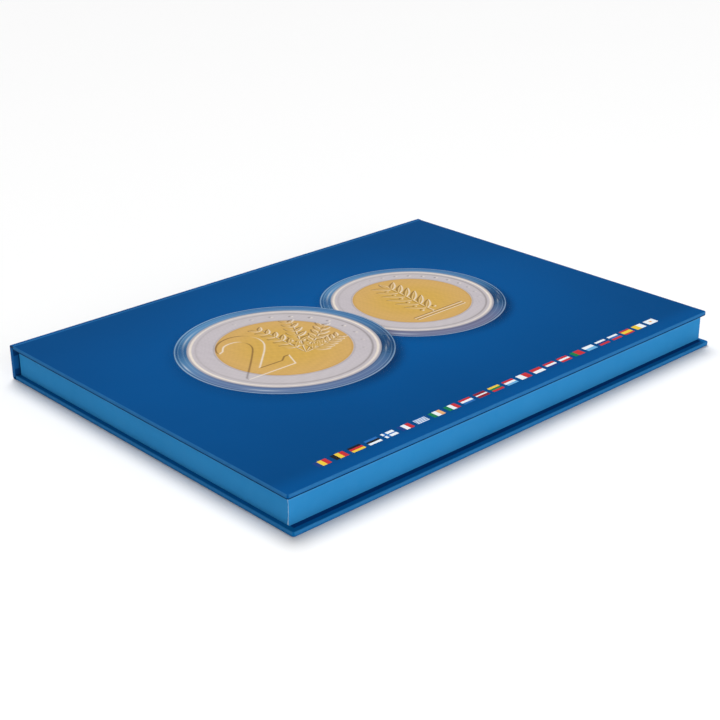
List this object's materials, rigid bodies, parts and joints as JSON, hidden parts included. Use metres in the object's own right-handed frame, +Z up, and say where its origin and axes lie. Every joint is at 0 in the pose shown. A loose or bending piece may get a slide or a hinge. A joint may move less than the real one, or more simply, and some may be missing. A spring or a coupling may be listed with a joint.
{
  "type": "coin album",
  "caption": "Landscape book-style coin album: a hinged wrap-around case round a shallow tray of round coin wells with clear capsules.",
  "frame": {"origin": "centre of the closed album's footprint, on the surface that it rests on", "axes": "+X along the spine, +Y from the fore-edge towards the spine, +Z up through the lid"},
  "size_m": [0.304, 0.2294, 0.0195],
  "materials": {
    "cover_paper": "dark blue satin-laminated printed paper",
    "lining_paper": "plain blue uncoated paper",
    "tray_paper": "lighter blue satin paper",
    "greyboard": "grey bookbinder's board",
    "foam": "closed-cell foam, navy",
    "velvet": "short-pile navy velvet",
    "ribbon": "woven satin ribbon, blue",
    "label_paper": "white label paper",
    "capsule_plastic": "clear moulded plastic",
    "coin_outer_metal": "silver-coloured coin metal",
    "coin_inner_metal": "gold-coloured coin metal"
  },
  "bodies": {
    "base_and_tray": {"base_board": "greyboard", "base_cover_paper": "cover_paper", "base_lining": "lining_paper", "capsule_bases": "capsule_plastic", "capsule_covers": "capsule_plastic", "coin_centres": "coin_inner_metal", "coin_panel_core": "foam", "coin_panel_velvet": "velvet", "coin_rings": "coin_outer_metal", "left_ribbon_pull": "ribbon", "lower_hinge_paper": "cover_paper", "right_ribbon_pull": "ribbon", "spacer_foam": "foam", "tray_back_paper": "tray_paper", "tray_back_wall": "greyboard", "tray_floor_board": "greyboard", "tray_floor_lining": "lining_paper", "tray_front_paper": "tray_paper", "tray_front_wall": "greyboard", "tray_left_paper": "tray_paper", "tray_left_wall": "greyboard", "tray_right_paper": "tray_paper", "tray_right_wall": "greyboard", "well_labels": "label_paper"},
    "spine": {"spine_board": "greyboard", "spine_cover_paper": "cover_paper", "spine_lining": "lining_paper", "upper_hinge_paper": "cover_paper"},
    "lid": {"lid_board": "greyboard", "lid_cover_paper": "cover_paper", "lid_lining": "lining_paper"}
  },
  "joints": [
    {"name": "spine_hinge", "type": "hinge", "parent": "base_and_tray", "child": "spine", "pos_m": [0, 0.1135, 0.00125], "axis": [-1, 0, 0], "range_deg": [0, 90], "deforming": ["lower_hinge_paper"]},
    {"name": "lid_hinge", "type": "hinge", "parent": "spine", "child": "lid", "pos_m": [0, 0.1135, 0.01825], "axis": [-1, 0, 0], "range_deg": [0, 90], "deforming": ["upper_hinge_paper"]}
  ]
}
